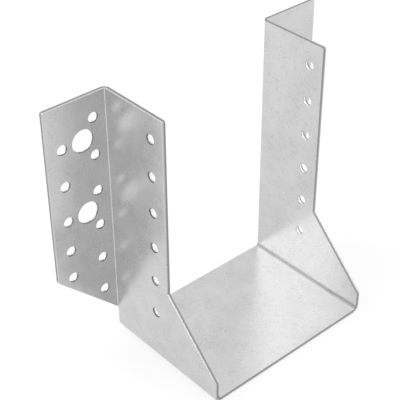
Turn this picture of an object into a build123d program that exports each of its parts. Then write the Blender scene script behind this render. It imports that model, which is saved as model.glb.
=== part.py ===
"""Face-fixed joist hanger, folded from one sheet of galvanised steel.

A seat carries the joist, a side plate stands up at each end of it, and a wing turns outwards
from the back edge of each plate to lie flat against the header. It is all one sheet: the
blank is punched and cropped flat, and then folded along four lines.

Frame: +Z up, +X across the joist, the header at +Y, and the joist comes in from -Y.
The origin is the middle of the footprint, on the underside of the seat.
"""

import os

from build123d import *

# Room for the joist
joist_width = 98.0  # clear width between the side plates
joist_height = 140.5  # clear height from the seat to the top edge

# Sheet and folds
sheet = 2.0  # thickness of the steel
seat_bend_radius = 2.0  # inside radius of the folds beside the seat
wing_bend_radius = 0.5  # inside radius of the wings' folds, which are pressed sharper

# Depths, forwards from the header face
seat_depth = 76.5  # to the front edge of the seat
plate_depth = 42.0  # to the front edge of the tall part of a side plate
back_setback = 2.0  # to the back edge of the seat, and of the plates below the wings

# Heights, up from the underside
lip_height = 12.0  # top of a side plate's upright edge at the seat's front
slope_top = 46.5  # where the plate's front edge starts to slope out to that lip
wing_root = 13.5  # where the wing's slanting lower edge comes in to the side plate
wing_corner = 47.5  # lower outer corner of the wing

# Wings and blunted corners
wing_width = 34.0  # side plate's outer face to the wing's outer edge
relief_radius = 2.0  # curve in which the wing's lower edge runs into the plate's back edge
corner_radius = 1.0  # square corners of the blank

# Nail and bolt holes
nail_hole = 5.0  # diameter
bolt_hole = 11.5  # diameter
nail_pitch = 20.0  # row spacing on the plates and on the wings
top_margin = 12.5  # top edge to the first row
foot_margin = 22.0  # least height of a row above the underside
plate_nail_setback = 33.5  # header face to the nail column of a side plate
fold_nail_inset = 7.25  # side plate's outer face to the nail column beside the fold
bolt_inset = 13.75  # side plate's outer face to the bolt holes
bolt_row_steps = 2  # bolt holes of a wing are this many pitches apart
edge_nail_margin = 8.75  # wing's outer edge to its outer nail column
corner_nail_height = 46.75  # lowest outer nail above the underside
corner_nail_pitch = 16.0  # spacing of the lowest outer nails, closer than the other rows
corner_nail_count = 2

# Faces and edges that follow from the sizes above
seat_fold_radius = seat_bend_radius + sheet
wing_fold_radius = wing_bend_radius + sheet
height = sheet + joist_height
plate_outer = joist_width / 2 + sheet
wing_edge = plate_outer + wing_width
header_y = seat_depth / 2
front_y = header_y - seat_depth
plate_front_y = header_y - plate_depth
back_y = header_y - back_setback
fold_y = header_y - wing_fold_radius  # the flat of a side plate ends and its wing's fold begins
relief_z = wing_root - back_setback - relief_radius  # lower end of the fold

# Rows of holes. The bolts and the outer nails sit half a pitch below the other rows
top_row = height - top_margin
row_count = int((top_row - foot_margin) / nail_pitch) + 1
nail_rows = [top_row - nail_pitch * row for row in range(row_count)]
offset_row = top_row - nail_pitch / 2
bolt_rows = [offset_row, offset_row - nail_pitch * bolt_row_steps]
corner_rows = [corner_nail_height + corner_nail_pitch * row for row in range(corner_nail_count)]
outer_count = int((offset_row - corner_rows[-1] - corner_nail_pitch) / nail_pitch) + 1
outer_rows = [offset_row - nail_pitch * row for row in range(outer_count)]

# Columns of holes
plate_nail_y = header_y - plate_nail_setback
fold_nail_x = plate_outer + fold_nail_inset
bolt_x = plate_outer + bolt_inset
edge_nail_x = wing_edge - edge_nail_margin


with BuildPart() as joist_hanger:
    # Seat and side plates: one half of the U section, mirrored and run from back to front
    with BuildSketch(Plane.XZ.offset(-back_y)):
        with BuildLine():
            FilletPolyline((0, 0), (plate_outer, 0), (plate_outer, height), radius=seat_fold_radius)
            offset(amount=sheet, side=Side.LEFT)
        make_face()
        mirror(about=Plane.YZ)
    extrude(amount=back_y - front_y)

    # Higher up, the strip at the back of each plate is given over to the fold of its wing
    with BuildSketch(Plane.YZ):
        with Locations((fold_y, relief_z)):
            Rectangle(header_y - fold_y, height - relief_z, align=(Align.MIN, Align.MIN))
    extrude(amount=plate_outer, both=True, mode=Mode.SUBTRACT)

    # Wings in plan: out of the side plate, round the fold and along the header
    with BuildSketch(Plane.XY.offset(relief_z)):
        with BuildLine():
            FilletPolyline(
                (plate_outer - sheet, fold_y - sheet),
                (plate_outer - sheet, header_y),
                (wing_edge, header_y),
                radius=wing_fold_radius,
            )
            offset(amount=sheet, side=Side.RIGHT)
        make_face()
        mirror(about=Plane.YZ)
    extrude(amount=height - relief_z)

    # Side outline: upright lip, slope and tall front edge, and the run-out of the fold behind
    with BuildSketch(Plane.YZ):
        with BuildLine():
            Polyline(
                (front_y, 0),
                (front_y, lip_height),
                (plate_front_y, slope_top),
                (plate_front_y, height),
                (header_y, height),
                (header_y, wing_root),
                (back_y, wing_root - back_setback),
                (back_y, 0),
                close=True,
            )
        make_face()
        fillet(vertices().group_by(Axis.X)[1].sort_by(Axis.Y)[-1], corner_radius)
        fillet(vertices().group_by(Axis.X)[-2].sort_by(Axis.Y)[-1], relief_radius)
    extrude(amount=wing_edge, both=True, mode=Mode.INTERSECT)

    # Front outline: the wings' slanting lower edges, each curving down into its side plate
    with BuildSketch(Plane.XZ):
        with BuildLine():
            Polyline(
                (0, 0),
                (plate_outer, 0),
                (plate_outer, wing_root),
                (wing_edge, wing_corner),
                (wing_edge, height),
                (0, height),
            )
            mirror(about=Plane.YZ)
        make_face()
        fillet(vertices().group_by(Axis.Y)[1], relief_radius)
        wing_corners = vertices().group_by(Axis.X)[0] + vertices().group_by(Axis.X)[-1]
        fillet(wing_corners, corner_radius)
    extrude(amount=seat_depth, both=True, mode=Mode.INTERSECT)

    # One nail column down each side plate, punched in line through both
    with BuildSketch(Plane.YZ):
        with Locations([(plate_nail_y, row) for row in nail_rows]):
            Circle(nail_hole / 2)
    extrude(amount=plate_outer, both=True, mode=Mode.SUBTRACT)

    # Wing holes: nails beside the fold and along the outer edge, bolt holes between them
    wing_nails = [(fold_nail_x, row) for row in nail_rows]
    wing_nails += [(edge_nail_x, row) for row in outer_rows + corner_rows]
    with BuildSketch(Plane.XZ.offset(-header_y)):
        with Locations(wing_nails):
            Circle(nail_hole / 2)
        with Locations([(bolt_x, row) for row in bolt_rows]):
            Circle(bolt_hole / 2)
        mirror(about=Plane.YZ)
    extrude(amount=sheet, mode=Mode.SUBTRACT)

joist_hanger.part.label = "joist_hanger"
os.makedirs("parts", exist_ok=True)
export_step(joist_hanger.part, "parts/joist_hanger.step")
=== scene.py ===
# %% [markdown]
# # A joist hanger, from flat sheet to finished part
#
# A joist hanger holds the end of a floor joist against a header beam. The real one is a single
# galvanised steel sheet. A press crops its outline and punches its holes while it is flat, and
# then folds it along four lines: two beside the seat, and two where the wings turn outwards.
#
# This lesson makes it the same way. It draws the flat blank, gives the cut edges the profile
# that a punch leaves, and then folds the whole mesh with one function. Working from the flat
# keeps the thickness true round every fold, and it lets the grain of the zinc run unbroken
# from the seat up the plates and out along the wings, as it does on the real sheet.

# %% Load the construction model
import math

import bmesh
import bpy
import numpy as np
from mathutils import Matrix, Vector


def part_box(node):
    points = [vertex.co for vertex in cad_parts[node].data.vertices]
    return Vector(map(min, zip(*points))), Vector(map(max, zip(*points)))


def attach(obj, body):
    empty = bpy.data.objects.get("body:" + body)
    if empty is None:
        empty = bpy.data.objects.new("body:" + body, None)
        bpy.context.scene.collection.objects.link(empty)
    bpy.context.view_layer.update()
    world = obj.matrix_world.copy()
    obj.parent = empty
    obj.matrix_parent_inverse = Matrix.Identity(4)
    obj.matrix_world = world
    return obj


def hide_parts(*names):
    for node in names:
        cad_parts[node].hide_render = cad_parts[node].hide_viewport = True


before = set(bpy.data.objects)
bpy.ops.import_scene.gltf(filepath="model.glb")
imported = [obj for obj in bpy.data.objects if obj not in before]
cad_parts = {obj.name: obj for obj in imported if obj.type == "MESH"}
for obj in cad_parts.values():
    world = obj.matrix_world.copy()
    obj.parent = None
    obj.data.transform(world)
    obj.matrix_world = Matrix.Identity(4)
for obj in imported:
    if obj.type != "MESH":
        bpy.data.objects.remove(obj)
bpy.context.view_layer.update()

node = "joist_hanger"
low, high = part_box(node)
print("the hanger measures", [round(1000 * side, 1) for side in high - low], "mm")

# %% [markdown]
# ## Sizes
#
# The overall sizes are read from the construction model, so the drawing can't drift from it.
# What the model's box doesn't tell, such as the thickness, is written here once. Blender works
# in metres, so each size is a number of millimetres times `mm`.

# %% Sizes of the sheet and its outline
mm = 0.001
sheet = 2.0 * mm
seat_radius = 2.0 * mm
wing_radius = 0.5 * mm

height, wing_edge = high.z, high.x
front_y, header_y = low.y, high.y

plate_depth = 42.0 * mm
back_setback = 2.0 * mm
lip_height = 12.0 * mm
slope_top = 46.5 * mm
wing_root = 13.5 * mm
wing_corner = 47.5 * mm
wing_width = 34.0 * mm
relief_radius = 2.0 * mm
corner_radius = 1.0 * mm

plate_outer = wing_edge - wing_width
print("room for the joist:", round((plate_outer - sheet) * 2 / mm, 1), "mm between the plates")

# %% [markdown]
# ## Unfolding the sheet
#
# A fold uses up some of the sheet. The layer in the middle of the thickness neither stretches
# nor shrinks, so a right-angle fold takes a quarter of a circle measured along that layer.
# On the flat blank, X runs from the middle of the seat, over its fold and up the side plate.
# Y runs from the front edge backwards, over the wing's fold and out along the wing.

# %% Where each height and width lies on the flat sheet
seat_arc = (seat_radius + sheet / 2) * math.pi / 2
wing_arc = (wing_radius + sheet / 2) * math.pi / 2
seat_fold = plate_outer - seat_radius - sheet
wing_fold = header_y - wing_radius - sheet


def across(z):
    """Where a height on the side plate lies on the flat, from the seat's middle."""
    return seat_fold + seat_arc + z - seat_radius - sheet


def along(x):
    """Where a width on the wing lies on the flat, in line with the seat's depth."""
    return wing_fold + wing_arc + x - plate_outer - wing_radius


blank_size = 2 * across(height), along(wing_edge) - front_y
print("flat blank:", [round(side / mm, 1) for side in blank_size], "mm")

# %% [markdown]
# ## The outline of the blank
#
# The outline is a short list of corners, each with its radius. One half is drawn, and the other
# is its mirror image. Real blanks have slightly blunt corners, because a sharp corner on a tool
# soon chips. The curve between the wing and the plate is there for strength, because a sharp
# notch would start to tear in the fold.

# %% Round the corners of an outline
arc_step = math.radians(15)


def rounded(corners):
    """Points of a closed outline given as (point, radius) pairs, anticlockwise."""
    points = []
    for index, (corner, radius) in enumerate(corners):
        corner = Vector(corner)
        back = (Vector(corners[index - 1][0]) - corner).normalized()
        ahead = (Vector(corners[(index + 1) % len(corners)][0]) - corner).normalized()
        if radius == 0:
            points.append(corner)
            continue
        half = back.angle(ahead) / 2
        centre = corner + (back + ahead).normalized() * radius / math.sin(half)
        start = corner + back * radius / math.tan(half) - centre
        end = corner + ahead * radius / math.tan(half) - centre
        turn = math.copysign(math.pi - 2 * half, start.x * end.y - start.y * end.x)
        steps = max(2, math.ceil(abs(turn) / arc_step))
        points += [centre + Matrix.Rotation(turn * n / steps, 2) @ start for n in range(steps + 1)]
    return np.array(points)


print("points round a right angle:", round(math.radians(90) / arc_step) + 1)

# %% [markdown]
# The corners are listed from the seat's front edge up the front of the plate, along its top
# and down the wing. The wing's lower edge slants in to the plate. It isn't stopped at the fold,
# but runs on to the plate's back edge, so the fold fades out in the corner.

# %% Draw the blank
plate_front = header_y - plate_depth
back_edge = header_y - back_setback
slant = (wing_corner - wing_root) / wing_width
root_height = wing_root + slant * (back_edge - along(plate_outer))
right_half = [
    ((across(0), front_y), 0),
    ((across(lip_height), front_y), 0),
    ((across(slope_top), plate_front), 0),
    ((across(height), plate_front), corner_radius),
    ((across(height), along(wing_edge)), corner_radius),
    ((across(wing_corner), along(wing_edge)), corner_radius),
    ((across(root_height), back_edge), relief_radius),
]
left_half = [((-x, y), radius) for (x, y), radius in reversed(right_half)]
outline = rounded(right_half[1:] + left_half[:-1])
print("the outline has", len(outline), "points")

# %% [markdown]
# ## Nail and bolt holes
#
# Nail holes sit in rows 20 mm apart, and every row of the joist's side lines up with one in the
# wing, so that one set of punches makes them all. The outer column of the wing and its two bolt
# holes are half a step lower, which keeps the nails from splitting the timber along one line.
# The two lowest nails are closer together, above the slanting edge.

# %% Place the holes
nail_hole, bolt_hole = 5.0 * mm, 11.5 * mm
pitch = 20.0 * mm
rows = [height - 12.5 * mm - pitch * n for n in range(6)]
offset_rows = [row - pitch / 2 for row in rows[:3]]
corner_rows = [62.75 * mm, 46.75 * mm]

plate_nail_y = header_y - 33.5 * mm
fold_nail_x = plate_outer + 7.25 * mm
bolt_x = plate_outer + 13.75 * mm
edge_nail_x = wing_edge - 8.75 * mm

holes = [(across(row), plate_nail_y, nail_hole) for row in rows]
holes += [(across(row), along(fold_nail_x), nail_hole) for row in rows]
holes += [(across(row), along(edge_nail_x), nail_hole) for row in offset_rows + corner_rows]
holes += [(across(row), along(bolt_x), bolt_hole) for row in offset_rows[::2]]
holes += [(-x, y, size) for x, y, size in holes]
print("holes to punch:", len(holes))

# %% [markdown]
# ## The edge that a punch leaves
#
# A punch doesn't cut like a knife. It first drags the face down into a soft rounded shoulder,
# then shears a smooth bright band, and the rest of the thickness snaps. The torn band is dull
# and rough, and it leans back, because the die below is a little wider than the punch.
# `edge_section` lists that as pairs: how far into the metal, and how deep below the face where
# the cut began. The small punches fit their dies more loosely than the big outline tool.

# %% Section through a sheared edge
shoulder_width = 0.35 * mm
shoulder_depth = 0.15 * mm
shoulder = [math.radians(angle) for angle in (0, 25, 50, 70, 90)]


def edge_section(shear_depth, lean):
    """Points (into the metal, below the face) from the shoulder to the far face."""
    rolled = [
        (shoulder_width * (1 - math.sin(a)), shoulder_depth * (1 - math.cos(a))) for a in shoulder
    ]
    return rolled + [(0, shear_depth), (lean, sheet)]


outline_section = edge_section(0.75 * mm, 0.05 * mm)
hole_section = edge_section(1.15 * mm, 0.22 * mm)
print("points in the edge section:", len(outline_section))

# %% [markdown]
# ## Crop and punch
#
# Every cut, round the outside or round a hole, is the same strip of faces swept along a closed
# loop of points, so one function makes them all. The two broad faces are then filled in
# between the loops. A boolean could punch the holes too, but it would leave no shoulder.
#
# The press strikes from the inner side of the sheet. Each hole has its shoulder on that side,
# but the blank is the piece that is pushed out, so its own outline has it the other way up.

# %% Sweep an edge section along a cut
blank = bmesh.new()
torn_depth = blank.verts.layers.float.new("torn_depth")
ZINC, CROPPED, PUNCHED = 0, 1, 2


def cut_edge(points, section, from_inside):
    """Faces of one cut. The metal lies to the left of the points' direction."""
    ahead = np.roll(points, -1, axis=0) - points
    ahead /= np.linalg.norm(ahead, axis=1)[:, None]
    left = np.stack([-ahead[:, 1], ahead[:, 0]], axis=1)
    before = np.roll(left, 1, axis=0)
    inwards = (left + before) / (1 + np.sum(left * before, axis=1))[:, None]
    shear_depth = section[-2][1]
    rings = []
    for inset, depth in section:
        level = sheet - depth if from_inside else depth
        rings.append([blank.verts.new((x, y, level)) for x, y in points + inwards * inset])
        for vert in rings[-1]:
            vert[torn_depth] = (depth - shear_depth) / mm
    for step, (upper, lower) in enumerate(zip(rings, rings[1:])):
        on_cut = step >= len(shoulder) - 1
        for i in range(len(points)):
            face = blank.faces.new((lower[i - 1], lower[i], upper[i], upper[i - 1]))
            face.material_index = (PUNCHED if from_inside else CROPPED) if on_cut else ZINC
    return (rings[-1], rings[0]) if from_inside else (rings[0], rings[-1])


def circle(x, y, size):
    """Points of a hole, clockwise, so that the metal is on their left."""
    count = 32 if size == nail_hole else 56
    angles = -2 * math.pi * np.arange(count) / count
    return np.stack([x + size / 2 * np.cos(angles), y + size / 2 * np.sin(angles)], axis=1)


cuts = [cut_edge(outline, outline_section, from_inside=False)]
cuts += [cut_edge(circle(*hole), hole_section, from_inside=True) for hole in holes]
print("faces on the cuts:", len(blank.faces))

# %% [markdown]
# The two broad faces are flat polygons with holes in them. Triangle fill takes all their rims
# at once and finds a neat set of triangles between them.

# %% Fill the two broad faces
for side in range(2):
    rims = []
    for cut in cuts:
        ring = cut[side]
        rims += [blank.edges.get((ring[i - 1], ring[i])) for i in range(len(ring))]
    bmesh.ops.triangle_fill(blank, use_beauty=True, edges=rims, normal=(0, 0, 1))
bmesh.ops.recalc_face_normals(blank, faces=blank.faces)
print("open edges left:", len([edge for edge in blank.edges if not edge.is_manifold]))

# %% [markdown]
# ## Lines to fold along
#
# A mesh only bends where it has vertices. Bisecting the blank along parallel lines through each
# fold gives the bend enough steps to look round. The wing's fold dies out just above the notch,
# so a few lines across it let the mesh ease from folded to flat.

# %% Bisect through the folds
fold_steps = 10
notch = wing_root - 3.0 * mm
eased = notch + 3.0 * mm
ease_steps = 6


def bisect(point, normal):
    """Cut every face of the blank along a plane, without dividing it in two."""
    geometry = blank.verts[:] + blank.edges[:] + blank.faces[:]
    bmesh.ops.bisect_plane(blank, geom=geometry, plane_co=point, plane_no=normal, dist=1e-7)


for step in range(fold_steps + 1):
    bisect((0, wing_fold + wing_arc * step / fold_steps, 0), (0, 1, 0))
    for side in (-1, 1):
        bisect((side * (seat_fold + seat_arc * step / fold_steps), 0, 0), (1, 0, 0))
for step in range(ease_steps + 1):
    for side in (-1, 1):
        bisect((side * across(notch + (eased - notch) * step / ease_steps), 0, 0), (1, 0, 0))
print("blank:", len(blank.verts), "vertices,", len(blank.faces), "faces")

# %% [markdown]
# ## Fold it
#
# `fold` takes points of the flat blank and returns where they end up. The wings turn first and
# then the side plates stand up, as they would in a press brake. Each fold is an arc of the
# middle layer, plus the point's own distance from that layer along the arc's normal.
#
# A sharp fold stretches the outside of the sheet so much that it gets thinner there, and its
# corner looks rounder outside than inside. `thinning` takes that from the outer surface, and
# the wing's fold needs it. The seat's folds are wide enough to keep their thickness.

# %% Fold the blank
wing_thinning, seat_thinning = 0.4 * mm, 0
least_ease = 0.01


def arc(distance, off_middle, length, bend, thinning):
    """Bend a run of sheet: how far it gets forwards, and how far it turns aside."""
    bent = np.clip(distance, 0, length)
    curvature = bend / length
    angle = bent * curvature
    off_middle = off_middle + thinning * np.sin(2 * angle) * (0.5 - off_middle / sheet)
    rest = distance - bent
    forwards = np.sin(angle) / curvature + rest * np.cos(angle) - off_middle * np.sin(angle)
    aside = (1 - np.cos(angle)) / curvature + rest * np.sin(angle) + off_middle * np.cos(angle)
    return forwards, aside


def fold(points):
    """Places in the folded hanger of points (x, y, depth) of the flat blank."""
    x, y, depth = points.T
    ease = np.clip((np.abs(x) - across(notch)) / (eased - notch), least_ease, 1)
    wing_bend = math.pi / 2 * ease * ease * (3 - 2 * ease)
    back, outwards = arc(y - wing_fold, sheet / 2 - depth, wing_arc, wing_bend, wing_thinning)
    # The seat's outer face is underneath, and it comes to face outwards as a plate stands up
    sideways, up = arc(np.abs(x) - seat_fold, -outwards, seat_arc, math.pi / 2, seat_thinning)
    across_joist = np.sign(x) * (seat_fold + sideways)
    return np.stack([across_joist, wing_fold + back, sheet / 2 + up], axis=1)


flat = np.array([vert.co for vert in blank.verts])
folded = fold(flat)
for vert, place in zip(blank.verts, folded):
    vert.co = place
print("folded size:", [round(side / mm, 2) for side in np.ptp(folded, axis=0)], "mm")

# %% [markdown]
# ## From mesh to object
#
# The flat place of every vertex is kept with the mesh, so that a material can still draw on the
# sheet as if it had never been folded. Smooth shading suits the folds and the punched
# shoulders, and a crisp line is kept wherever two faces meet at more than 40 degrees. The
# Weighted Normal modifier then lets the broad faces win over the narrow ones next to them, so
# they stay truly flat right up to a fold or a shoulder.

# %% Make the hanger
mesh = bpy.data.meshes.new("folded_sheet")
blank.normal_update()
blank.to_mesh(mesh)
blank.free()
mesh.attributes.new("flat_place", "FLOAT_VECTOR", "POINT")
mesh.attributes["flat_place"].data.foreach_set("vector", (flat / mm).ravel())
mesh.shade_smooth()
mesh.set_sharp_from_angle(angle=math.radians(40))

hanger = bpy.data.objects.new("folded_hanger", mesh)
bpy.context.scene.collection.objects.link(hanger)
weighted = hanger.modifiers.new("flat_faces", "WEIGHTED_NORMAL")
weighted.keep_sharp = True
weighted.weight = 100
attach(hanger, "root")
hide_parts(node)
print("hanger:", len(mesh.polygons), "faces")

# %% [markdown]
# ## A metal from patterns
#
# A Blender material is a small graph of nodes. `Metal` starts one, and its methods add the few
# kinds of node that the finishes here need: a noise over the flat sheet, a spread of its values
# on to another range, and a sum or product of two patterns. A finish is then a few readable
# lines. `finish` also adds the material to the mesh, so zinc comes first, as ZINC is number 0.

# %% Start a metal
class Metal:
    """A metal material, and shorthands for the patterns that vary it."""

    def __init__(self, name):
        self.material = bpy.data.materials.new(name)
        self.material.use_nodes = True
        self.tree = self.material.node_tree
        self.shader = self.tree.nodes["Principled BSDF"]
        self.shader.inputs["Metallic"].default_value = 1.0
        self.flat_place = self.node("Attribute", attribute_name="flat_place").outputs["Vector"]

    def node(self, kind, **settings):
        """A new node, with its options or the values of its sockets."""
        made = self.tree.nodes.new("ShaderNode" + kind)
        for name, value in settings.items():
            if name in made.inputs:
                made.inputs[name].default_value = value
            else:
                setattr(made, name, value)
        return made

    def noise(self, grains, detail, length=1.0):
        """A noise with so many grains in a millimetre, each so many times as long as wide."""
        place = self.node("Mapping", Scale=(grains / length, grains, grains))
        made = self.node("TexNoise", Scale=1.0, Detail=detail)
        self.tree.links.new(self.flat_place, place.inputs["Vector"])
        self.tree.links.new(place.outputs["Vector"], made.inputs["Vector"])
        return made.outputs["Fac"]

    def spread(self, pattern, low, high, at_low, at_high):
        """A pattern's values from low to high, turned smoothly into at_low to at_high."""
        made = self.node("MapRange", interpolation_type="SMOOTHSTEP")
        for socket, value in zip(made.inputs[1:5], (low, high, at_low, at_high)):
            socket.default_value = value
        self.tree.links.new(pattern, made.inputs[0])
        return made.outputs[0]

    def combine(self, operation, first, second):
        """Add or multiply two patterns, or a pattern and a number, or the like."""
        made = self.node("Math", operation=operation)
        for socket, value in zip(made.inputs, (first, second)):
            if isinstance(value, float):
                socket.default_value = value
            else:
                self.tree.links.new(value, socket)
        return made.outputs[0]

    def finish(self, grey, roughness, height, depth):
        """Join the patterns to the shader. The bumps are depth deep where height is 1."""
        bump = self.node("Bump", Strength=1.0, Distance=depth)
        self.tree.links.new(height, bump.inputs["Height"])
        self.tree.links.new(grey, self.shader.inputs["Base Color"])
        self.tree.links.new(roughness, self.shader.inputs["Roughness"])
        self.tree.links.new(bump.outputs["Normal"], self.shader.inputs["Normal"])
        mesh.materials.append(self.material)
        print(self.material.name, "has", len(self.tree.nodes), "nodes")


print("a metal's shorthands:", [name for name in vars(Metal) if not name.startswith("_")])

# %% [markdown]
# ## Zinc
#
# A hot-dipped sheet is a soft silvery metal. It mirrors its surroundings, but the mirror is
# blurred by a sandy texture that the rolls press into the zinc. Cloudy patches a centimetre
# or two across come from the way that the coating froze, and fine dark scratches gather in
# some places. All of it is noise on the flat sheet, so it turns every corner without a seam.
#
# A painted shade darkens the zinc along the seat's folds, most in the crease on the inside and
# less round the outside, and the zinc there is rougher too. The
# flat place tells that line too: X says how near the fold is, and Z which face it is on.

# %% Galvanised face
zinc = Metal("galvanised_zinc")
clouds = zinc.noise(0.06, 3.0)
grain = zinc.noise(1.4, 2.0)
scratches = zinc.noise(1.7, 1.0, length=2.0)
flurries = zinc.noise(0.16, 2.0)

cloud_grey = zinc.spread(clouds, 0.3, 0.7, 0.60, 0.66)
grain_grey = zinc.spread(grain, 0.3, 0.7, 0.95, 1.02)
scratched = zinc.combine("ADD", scratches, zinc.spread(flurries, 0.35, 0.65, -0.12, 0.05))
scratch_grey = zinc.spread(scratched, 0.56, 0.70, 1.0, 0.86)
grey = zinc.combine("MULTIPLY", zinc.combine("MULTIPLY", cloud_grey, grain_grey), scratch_grey)

where = zinc.node("SeparateXYZ")
zinc.tree.links.new(zinc.flat_place, where.inputs[0])
from_middle = zinc.combine("ABSOLUTE", where.outputs["X"], 0.0)
fold_middle = (seat_fold + seat_arc / 2) / mm
fold_shade_core, fold_shade_reach = 0.3, 1.9
from_fold = zinc.combine("ABSOLUTE", zinc.combine("SUBTRACT", from_middle, fold_middle), 0.0)
near_fold = zinc.spread(from_fold, fold_shade_core, fold_shade_reach, 1.0, 0.0)
inside = zinc.spread(where.outputs["Z"], 0.9, 1.1, 0.25, 1.0)
painted_fold_shade = zinc.combine("MULTIPLY", near_fold, inside)
# Painted shade: the zinc's grey is multiplied down to 0.72 in the crease of the seat's folds.
grey = zinc.combine("MULTIPLY", grey, zinc.spread(painted_fold_shade, 0.0, 1.0, 1.0, 0.72))
cloud_gloss = zinc.spread(clouds, 0.3, 0.7, 0.24, 0.32)
gloss = zinc.combine("MAXIMUM", cloud_gloss, zinc.spread(painted_fold_shade, 0.0, 1.0, 0.0, 0.6))
zinc.finish(grey, gloss, grain, 0.04 * mm)

# %% [markdown]
# ## Bare steel
#
# The cut edges are bare steel. The sheared band is polished by the tool, and the torn band
# below it is dull and dark. `torn_depth` says how far below the border a point is, and a
# little noise makes that border ragged, as a real fracture is. The bright band in a hole gets
# a much lighter grey than the outline's, and that extra lightness is a painted highlight.

# %% Cut edges
raggedness = 0.12


def cut_steel(name, bright, torn):
    """A steel that is bright where it was sheared and dark where it tore."""
    steel = Metal(name)
    below = steel.node("Attribute", attribute_name="torn_depth").outputs["Fac"]
    tears = steel.noise(1.6, 4.0)
    ragged = steel.combine("ADD", below, steel.spread(tears, 0.3, 0.7, -raggedness, raggedness))
    grey = steel.spread(ragged, 0.0, raggedness, bright, torn)
    roughness = steel.spread(ragged, 0.0, raggedness, 0.25, 0.6)
    steel.finish(grey, roughness, tears, 0.1 * mm)


cut_steel("cropped_steel", 0.5, 0.33)
# Painted highlight: the punched band's grey of 0.85, against 0.5 round the outline, makes the hole
# walls light.
cut_steel("punched_steel_painted_highlight", 0.85, 0.25)

# %% [markdown]
# ## Floor and light
#
# Bright metal shows its surroundings more than itself, so the surroundings matter as much as
# the lamps. Here the hanger stands on a white floor in a white room. Both look full white to
# the camera and in the metal, but they light things at a plain level, so that a grey renders
# as it is written. The Light Path node tells the two apart: it knows what kind of ray asks.

# %% Tell a look from a light
looking_rays = ("Is Camera Ray", "Is Glossy Ray", "Is Transmission Ray")


def seen_or_lit(tree, seen, lit, output):
    """Show one shader to the camera and in mirrors, and light the scene with the other."""
    path = tree.nodes.new("ShaderNodeLightPath")
    looks = path.outputs[looking_rays[0]]
    for ray in looking_rays[1:]:
        either = tree.nodes.new("ShaderNodeMath")
        either.operation = "MAXIMUM"
        tree.links.new(looks, either.inputs[0])
        tree.links.new(path.outputs[ray], either.inputs[1])
        looks = either.outputs[0]
    mixed = tree.nodes.new("ShaderNodeMixShader")
    for socket, link in zip(mixed.inputs, (looks, lit.outputs[0], seen.outputs[0])):
        tree.links.new(link, socket)
    tree.links.new(mixed.outputs[0], tree.nodes[output].inputs["Surface"])


print("rays that look:", looking_rays)

# %% [markdown]
# The floor is a matt sheet that also glows a little to a ray that looks at it. The glow takes it
# up to white, and the matt part still darkens where the hanger shades it, which is its shadow.

# %% White floor
reach = 4.0
floor_mesh = bpy.data.meshes.new("floor")
corners = [(-reach, -reach, 0), (reach, -reach, 0), (reach, reach, 0), (-reach, reach, 0)]
floor_mesh.from_pydata(corners, [], [(0, 1, 2, 3)])
floor = bpy.data.objects.new("floor", floor_mesh)
floor.location.z = -0.2 * mm
bpy.context.scene.collection.objects.link(floor)

paper = bpy.data.materials.new("white_floor")
paper.use_nodes = True
tree = paper.node_tree
tree.nodes.remove(tree.nodes["Principled BSDF"])
matt = tree.nodes.new("ShaderNodeBsdfDiffuse")
matt.inputs["Color"].default_value = (0.4, 0.4, 0.4, 1)
glow = tree.nodes.new("ShaderNodeEmission")
glow.inputs["Strength"].default_value = 0.68
glowing = tree.nodes.new("ShaderNodeAddShader")
tree.links.new(matt.outputs[0], glowing.inputs[0])
tree.links.new(glow.outputs[0], glowing.inputs[1])
seen_or_lit(tree, glowing, matt, "Material Output")
floor_mesh.materials.append(paper)
print("floor:", [2 * reach, 2 * reach], "m")

# %% [markdown]
# The room is plain white all round. It looks white, and lights the scene at three quarters of
# that, which leaves the rest for two soft lamps.

# %% White room
room = bpy.data.worlds.new("white_room")
room.use_nodes = True
bpy.context.scene.world = room
light = room.node_tree.nodes["Background"]
white = room.node_tree.nodes.new("ShaderNodeBackground")
for background, strength in ((light, 0.75), (white, 1.0)):
    background.inputs["Color"].default_value = (1, 1, 1, 1)
    background.inputs["Strength"].default_value = strength
seen_or_lit(room.node_tree, white, light, "World Output")
print("room light:", light.inputs["Strength"].default_value)

# %% [markdown]
# Light that bounces twice in the fold between the seat and a plate has lost two lots of
# brightness. The lamp at the back left shines where that double bounce looks, and makes up for
# it. The lamp at the front right gives the rounded edges their highlights.

# %% Soft lamps
def soft_lamp(name, place, size, brightness):
    """A square lamp, aimed at the hanger, so many times as bright as the white room."""
    lamp = bpy.data.objects.new(name, bpy.data.lights.new(name, "AREA"))
    lamp.data.size = size
    lamp.data.energy = brightness * math.pi * size**2
    lamp.location = place
    towards = Vector((0, 0, 0.05)) - lamp.location
    lamp.rotation_euler = towards.to_track_quat("-Z", "Y").to_euler()
    bpy.context.scene.collection.objects.link(lamp)
    print(name, "gives", round(lamp.data.energy, 2), "W")


soft_lamp("back_left_lamp", (-0.75, 0.85, 1.0), 1.0, 1.7)
soft_lamp("front_right_lamp", (0.9, -0.95, 1.2), 0.8, 1.5)

# %% [markdown]
# ## Camera
#
# The view comes from the front left and from above, so that both faces of the fold, the seat
# and the inside of the far plate all show. A long lens keeps the plates nearly parallel.

# %% Place the camera
camera = bpy.data.objects.new("camera", bpy.data.cameras.new("camera"))
camera.data.sensor_width = 36.0
camera.data.lens = 98.4
looking_down = 35.514
heading, tilt, roll = [math.radians(angle) for angle in (-41.34, 90 - looking_down, -0.384)]
turn = Matrix.Rotation(heading, 4, "Z") @ Matrix.Rotation(tilt, 4, "X")
turn = turn @ Matrix.Rotation(roll, 4, "Z")
camera.matrix_world = Matrix.Translation((-0.30113, -0.31229, 0.3852)) @ turn
bpy.context.scene.collection.objects.link(camera)
bpy.context.scene.camera = camera
bpy.context.scene.view_settings.view_transform = "Standard"
print("camera:", round(camera.location.length, 3), "m away")

# %% [markdown]
# ## The construction model's box
#
# The dressed hanger has to stay inside the construction model's box.
